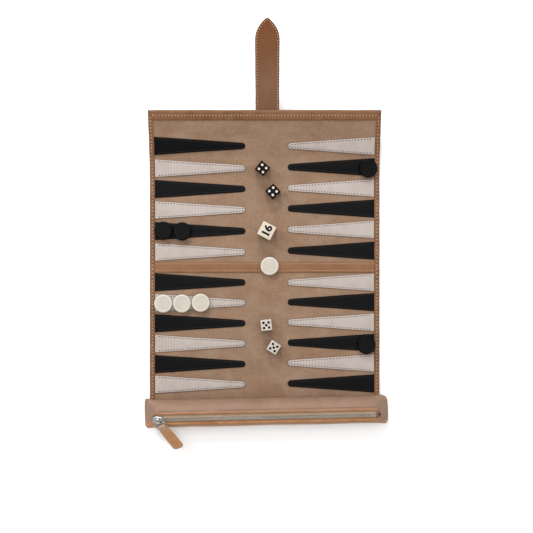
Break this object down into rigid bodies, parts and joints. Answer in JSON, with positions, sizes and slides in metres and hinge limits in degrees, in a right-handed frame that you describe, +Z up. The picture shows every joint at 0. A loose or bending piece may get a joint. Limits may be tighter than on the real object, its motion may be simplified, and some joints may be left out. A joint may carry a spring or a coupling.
{
  "type": "backgammon set",
  "caption": "Roll-up travel backgammon board in leather and suede, with inlaid points, a zipped pouch, a strap, checkers, dice and a doubling cube.",
  "frame": {"origin": "on the table under the middle of the centre bar", "axes": "+X to the right, +Y from the pouch towards the strap, +Z up from the table"},
  "size_m": [0.2645, 0.46, 0.0522],
  "materials": {
    "suede": "napped suede",
    "bar_leather": "satin",
    "white_leather": "satin",
    "black_leather": "satin",
    "ivory": "satin",
    "ebony": "satin",
    "cube_ivory": "satin",
    "pouch_leather": "satin",
    "zip_tape": "woven",
    "metal": "polished",
    "tab_leather": "satin",
    "strap_leather": "satin"
  },
  "bodies": {
    "row_03": {"mat_row_03": "suede", "point_03_left_black": "black_leather", "point_03_right_white": "white_leather"},
    "row_04": {"mat_row_04": "suede", "point_04_left_white": "white_leather", "point_04_right_black": "black_leather"},
    "row_05": {"mat_row_05": "suede", "point_05_left_black": "black_leather", "point_05_right_white": "white_leather"},
    "row_06": {"mat_row_06": "suede", "point_06_left_white": "white_leather", "point_06_right_black": "black_leather"},
    "bar": {"centre_bar": "bar_leather"},
    "row_07": {"mat_row_07": "suede", "point_07_left_black": "black_leather", "point_07_right_white": "white_leather"},
    "row_08": {"mat_row_08": "suede", "point_08_left_white": "white_leather", "point_08_right_black": "black_leather"},
    "row_09": {"mat_row_09": "suede", "point_09_left_black": "black_leather", "point_09_right_white": "white_leather"},
    "row_10": {"mat_row_10": "suede", "point_10_left_white": "white_leather", "point_10_right_black": "black_leather"},
    "row_11": {"mat_row_11": "suede", "point_11_left_black": "black_leather", "point_11_right_white": "white_leather"},
    "row_12": {"mat_row_12": "suede", "point_12_left_white": "white_leather", "point_12_right_black": "black_leather"},
    "pouch": {"pouch_shell": "pouch_leather", "zipper_chain": "zip_tape", "stored_white_checkers": "ivory", "stored_black_checkers": "ebony"},
    "zip_slider": {"zip_slider": "metal"},
    "pull_ring": {"pull_ring": "metal"},
    "pull_tab": {"pull_tab": "tab_leather"},
    "row_02": {"mat_row_02": "suede", "point_02_left_white": "white_leather", "point_02_right_black": "black_leather"},
    "row_01": {"mat_row_01": "suede", "point_01_left_black": "black_leather", "point_01_right_white": "white_leather"},
    "top_margin": {"top_margin": "suede"},
    "strap_base": {"strap_base": "strap_leather"},
    "strap_tip": {"strap_tip": "strap_leather"},
    "white_checker_1": {"white_checker_1": "ivory"},
    "white_checker_2": {"white_checker_2": "ivory"},
    "white_checker_3": {"white_checker_3": "ivory"},
    "white_checker_4": {"white_checker_4": "ivory"},
    "black_checker_1": {"black_checker_1": "ebony"},
    "black_checker_2": {"black_checker_2": "ebony"},
    "black_checker_3": {"black_checker_3": "ebony"},
    "black_checker_4": {"black_checker_4": "ebony"},
    "black_die_1": {"black_die_1": "ebony"},
    "black_die_2": {"black_die_2": "ebony"},
    "white_die_1": {"white_die_1": "ivory"},
    "white_die_2": {"white_die_2": "ivory"},
    "doubling_cube": {"doubling_cube": "cube_ivory"}
  },
  "joints": [
    {"name": "fold_03_04", "type": "hinge", "parent": "row_03", "child": "row_04", "pos_m": [0, 0.07475, 0.0022], "axis": [-1, 0, 0], "range_deg": [0, 33]},
    {"name": "fold_04_05", "type": "hinge", "parent": "row_04", "child": "row_05", "pos_m": [0, 0.05165, 0.0022], "axis": [-1, 0, 0], "range_deg": [0, 35]},
    {"name": "fold_05_06", "type": "hinge", "parent": "row_05", "child": "row_06", "pos_m": [0, 0.02855, 0.0022], "axis": [-1, 0, 0], "range_deg": [0, 38]},
    {"name": "fold_06_bar", "type": "hinge", "parent": "row_06", "child": "bar", "pos_m": [0, 0.0066, 0.0022], "axis": [-1, 0, 0], "range_deg": [0, 20]},
    {"name": "fold_bar_07", "type": "hinge", "parent": "bar", "child": "row_07", "pos_m": [0, -0.0066, 0.0022], "axis": [-1, 0, 0], "range_deg": [0, 29]},
    {"name": "fold_07_08", "type": "hinge", "parent": "row_07", "child": "row_08", "pos_m": [0, -0.0282, 0.0022], "axis": [-1, 0, 0], "range_deg": [0, 45]},
    {"name": "fold_08_09", "type": "hinge", "parent": "row_08", "child": "row_09", "pos_m": [0, -0.0506, 0.0022], "axis": [-1, 0, 0], "range_deg": [0, 38]},
    {"name": "fold_09_10", "type": "hinge", "parent": "row_09", "child": "row_10", "pos_m": [0, -0.073, 0.0022], "axis": [-1, 0, 0], "range_deg": [0, 36]},
    {"name": "fold_10_11", "type": "hinge", "parent": "row_10", "child": "row_11", "pos_m": [0, -0.0954, 0.0022], "axis": [-1, 0, 0], "range_deg": [0, 46]},
    {"name": "fold_11_12", "type": "hinge", "parent": "row_11", "child": "row_12", "pos_m": [0, -0.1178, 0.0022], "axis": [-1, 0, 0], "range_deg": [0, 46]},
    {"name": "fold_12_pouch", "type": "hinge", "parent": "row_12", "child": "pouch", "pos_m": [0, -0.1402, 0.0022], "axis": [-1, 0, 0], "range_deg": [0, 36]},
    {"name": "fold_03_02", "type": "hinge", "parent": "row_03", "child": "row_02", "pos_m": [0, 0.09785, 0.0022], "axis": [1, 0, 0], "range_deg": [0, 31]},
    {"name": "fold_02_01", "type": "hinge", "parent": "row_02", "child": "row_01", "pos_m": [0, 0.12072, 0.00541], "axis": [1, 0, 0], "range_deg": [0, 14]},
    {"name": "fold_01_margin", "type": "hinge", "parent": "row_01", "child": "top_margin", "pos_m": [0, 0.14282, 0.01217], "axis": [1, 0, 0], "range_deg": [0, 40]},
    {"name": "strap_fold", "type": "hinge", "parent": "top_margin", "child": "strap_base", "pos_m": [0, 0.17026, 0.0195], "axis": [1, 0, 0], "range_deg": [0, 42]},
    {"name": "strap_tip_fold", "type": "hinge", "parent": "strap_base", "child": "strap_tip", "pos_m": [0, 0.21527, 0.03588], "axis": [1, 0, 0], "range_deg": [0, 61]},
    {"name": "white_checker_1_lift", "type": "slide", "parent": "row_08", "child": "white_checker_1", "axis": [0, 0, 1], "range_m": [0, 0.12]},
    {"name": "white_checker_2_lift", "type": "slide", "parent": "row_08", "child": "white_checker_2", "axis": [0, 0, 1], "range_m": [0, 0.12]},
    {"name": "white_checker_3_lift", "type": "slide", "parent": "row_08", "child": "white_checker_3", "axis": [0, 0, 1], "range_m": [0, 0.12]},
    {"name": "white_checker_4_lift", "type": "slide", "parent": "bar", "child": "white_checker_4", "axis": [0, 0, 1], "range_m": [0, 0.12]},
    {"name": "black_checker_1_lift", "type": "slide", "parent": "row_05", "child": "black_checker_1", "axis": [0, 0, 1], "range_m": [0, 0.12]},
    {"name": "black_checker_2_lift", "type": "slide", "parent": "row_05", "child": "black_checker_2", "axis": [0, 0, 1], "range_m": [0, 0.12]},
    {"name": "black_checker_3_lift", "type": "slide", "parent": "row_02", "child": "black_checker_3", "axis": [0, -0.1392, 0.9903], "range_m": [0, 0.12]},
    {"name": "black_checker_4_lift", "type": "slide", "parent": "row_10", "child": "black_checker_4", "axis": [0, 0, 1], "range_m": [0, 0.12]},
    {"name": "black_die_1_lift", "type": "slide", "parent": "row_02", "child": "black_die_1", "axis": [0, -0.1392, 0.9903], "range_m": [0, 0.12]},
    {"name": "black_die_2_lift", "type": "slide", "parent": "row_03", "child": "black_die_2", "axis": [0, 0, 1], "range_m": [0, 0.12]},
    {"name": "white_die_1_lift", "type": "slide", "parent": "row_09", "child": "white_die_1", "axis": [0, 0, 1], "range_m": [0, 0.12]},
    {"name": "white_die_2_lift", "type": "slide", "parent": "row_10", "child": "white_die_2", "axis": [0, 0, 1], "range_m": [0, 0.12]},
    {"name": "doubling_cube_lift", "type": "slide", "parent": "row_05", "child": "doubling_cube", "axis": [0, 0, 1], "range_m": [0, 0.12]},
    {"name": "zip_slide", "type": "slide", "parent": "pouch", "child": "zip_slider", "axis": [0.9998, 0.0209, 0], "range_m": [0, 0.222]},
    {"name": "ring_swing", "type": "hinge", "parent": "zip_slider", "child": "pull_ring", "pos_m": [-0.11387, -0.1639, 0.03277], "axis": [0.0123, -0.5877, 0.809], "range_deg": [-100, 64]},
    {"name": "tab_tilt", "type": "hinge", "parent": "pull_ring", "child": "pull_tab", "pos_m": [-0.11003, -0.16996, 0.02831], "axis": [-0.8912, -0.3734, -0.2577], "range_deg": [0, 60]}
  ]
}
